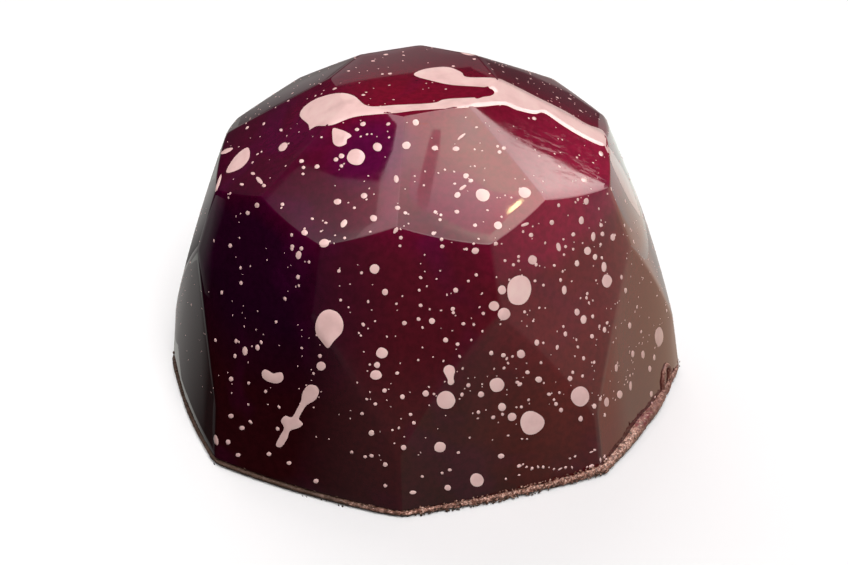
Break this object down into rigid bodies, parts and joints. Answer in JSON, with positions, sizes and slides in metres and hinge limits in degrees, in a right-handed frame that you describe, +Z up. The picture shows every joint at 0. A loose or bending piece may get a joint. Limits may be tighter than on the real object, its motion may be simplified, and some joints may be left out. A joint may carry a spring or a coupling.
{
  "type": "chocolate bonbon",
  "caption": "Moulded chocolate bonbon shaped like a faceted gem, glossy burgundy with pale pink splashes, on a thin scraped closing layer.",
  "frame": {"origin": "centre of the underside of the closing layer, on the surface that the bonbon rests on", "axes": "+Z up along the gem's axis; -Y towards the side that the picture shows"},
  "size_m": [0.03, 0.0302, 0.0187],
  "materials": {
    "coloured_shell": "very glossy burgundy cocoa butter over dark chocolate",
    "scraped_chocolate": "rough scraped milk chocolate",
    "pink_cocoa_butter": "glossy pale pink cocoa butter splashes, flush with the shell"
  },
  "bodies": {
    "root": {"shell": "coloured_shell", "closing_layer": "scraped_chocolate"}
  },
  "joints": []
}
